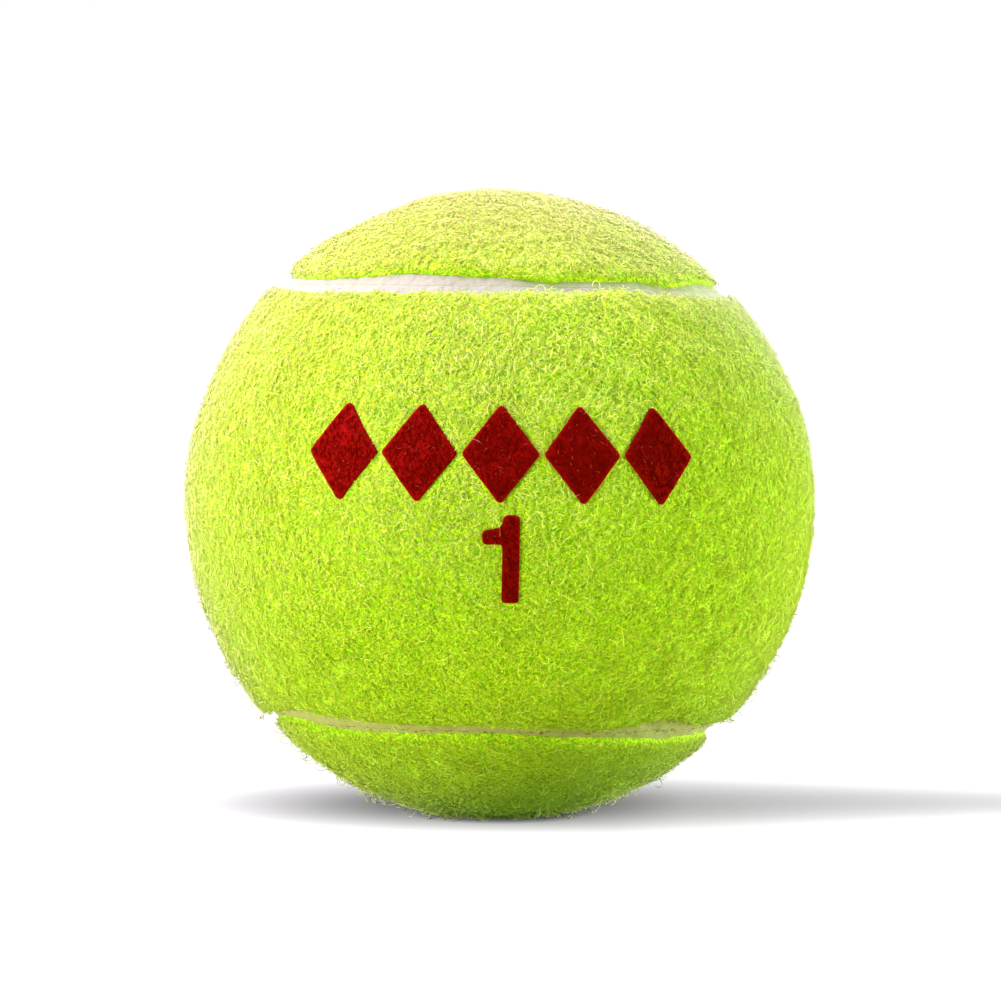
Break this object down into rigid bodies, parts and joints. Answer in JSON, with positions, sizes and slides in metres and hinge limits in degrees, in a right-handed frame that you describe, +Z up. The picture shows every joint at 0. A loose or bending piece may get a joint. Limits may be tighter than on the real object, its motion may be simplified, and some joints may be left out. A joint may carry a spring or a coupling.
{
  "type": "tennis ball",
  "caption": "Felt-covered hollow rubber ball with a curved seam between its covers and a printed number, pressed flat where it stands.",
  "frame": {"origin": "centre of the ball", "axes": "+Z up, square to the flat patch that the ball stands on; -Y is the front, where the print is; +X is to the right of the print"},
  "size_m": [0.067, 0.067, 0.0662],
  "materials": {
    "core_rubber": "matte",
    "cement": "matte",
    "backing": "matte",
    "felt": "matte",
    "seam": "matte",
    "ink": "matte"
  },
  "bodies": {
    "root": {"core_half_upper": "core_rubber", "core_half_lower": "core_rubber", "core_joint_cement": "cement", "core_coat": "cement", "backing_front": "backing", "backing_back": "backing", "felt_front": "felt", "felt_back": "felt", "seam_edging_front": "seam", "seam_edging_back": "seam", "printed_number": "ink", "printed_lozenges": "ink"}
  },
  "joints": []
}
